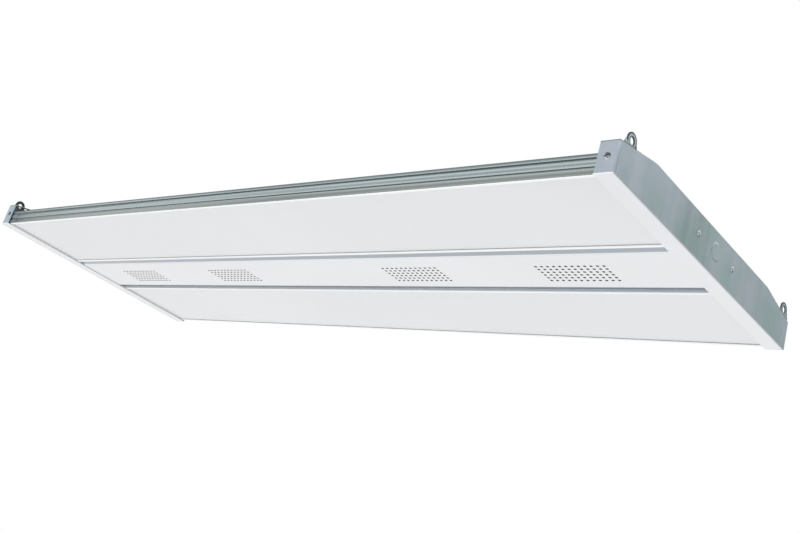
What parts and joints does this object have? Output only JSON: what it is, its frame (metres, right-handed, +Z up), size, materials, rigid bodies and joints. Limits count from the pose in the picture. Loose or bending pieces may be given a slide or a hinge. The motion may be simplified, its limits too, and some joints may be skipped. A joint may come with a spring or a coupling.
{
  "type": "high bay light",
  "caption": "Linear LED high bay light with opal lenses, finned heat sinks, a perforated centre cover and folded end caps with hanging lugs.",
  "frame": {"origin": "middle of the bottom of the bounding box, in the plane of the end strips' lower faces", "axes": "+X along the length towards the end that faces the camera, -Y towards the near long side, +Z up towards the hanging lugs"},
  "size_m": [1.193, 0.44, 0.0545],
  "materials": {
    "galvanised_sheet": "bright spangled zinc, soft sheen",
    "white_paint": "satin white powder coat",
    "anodised_aluminium": "satin extruded, clear anodised",
    "opal_plastic": "opal, smooth",
    "driver_case": "satin white",
    "zinc_screw": "zinc plated",
    "terminal_plastic": "smooth",
    "board_white": "satin white solder mask on aluminium",
    "led_yellow": "phosphor yellow",
    "lead_red": "smooth insulation",
    "lead_black": "smooth insulation",
    "lead_green": "smooth insulation",
    "black_rubber": "matte",
    "rivet_aluminium": "bright",
    "earth_screw": "green"
  },
  "bodies": {
    "root": {"end_cap_left": "galvanised_sheet", "end_cap_right": "galvanised_sheet", "end_strip_left": "white_paint", "end_strip_right": "white_paint", "heat_sink_near": "anodised_aluminium", "heat_sink_far": "anodised_aluminium", "lens_near": "opal_plastic", "lens_far": "opal_plastic", "centre_cover": "white_paint", "spine_channel": "galvanised_sheet", "driver_left": "driver_case", "driver_right": "driver_case", "driver_screws": "zinc_screw", "terminal_block": "terminal_plastic", "led_board_near_left": "board_white", "led_board_near_right": "board_white", "led_board_far_left": "board_white", "led_board_far_right": "board_white", "led_chips_near": "led_yellow", "led_chips_far": "led_yellow", "board_connectors": "terminal_plastic", "board_screws": "zinc_screw", "output_leads_left": "lead_red", "output_leads_right": "lead_red", "supply_leads": "lead_black", "grommets": "black_rubber", "flange_screws": "zinc_screw", "end_rivets": "rivet_aluminium", "spine_screws": "zinc_screw", "earth_lead": "lead_green", "ground_screw": "earth_screw"}
  },
  "joints": []
}
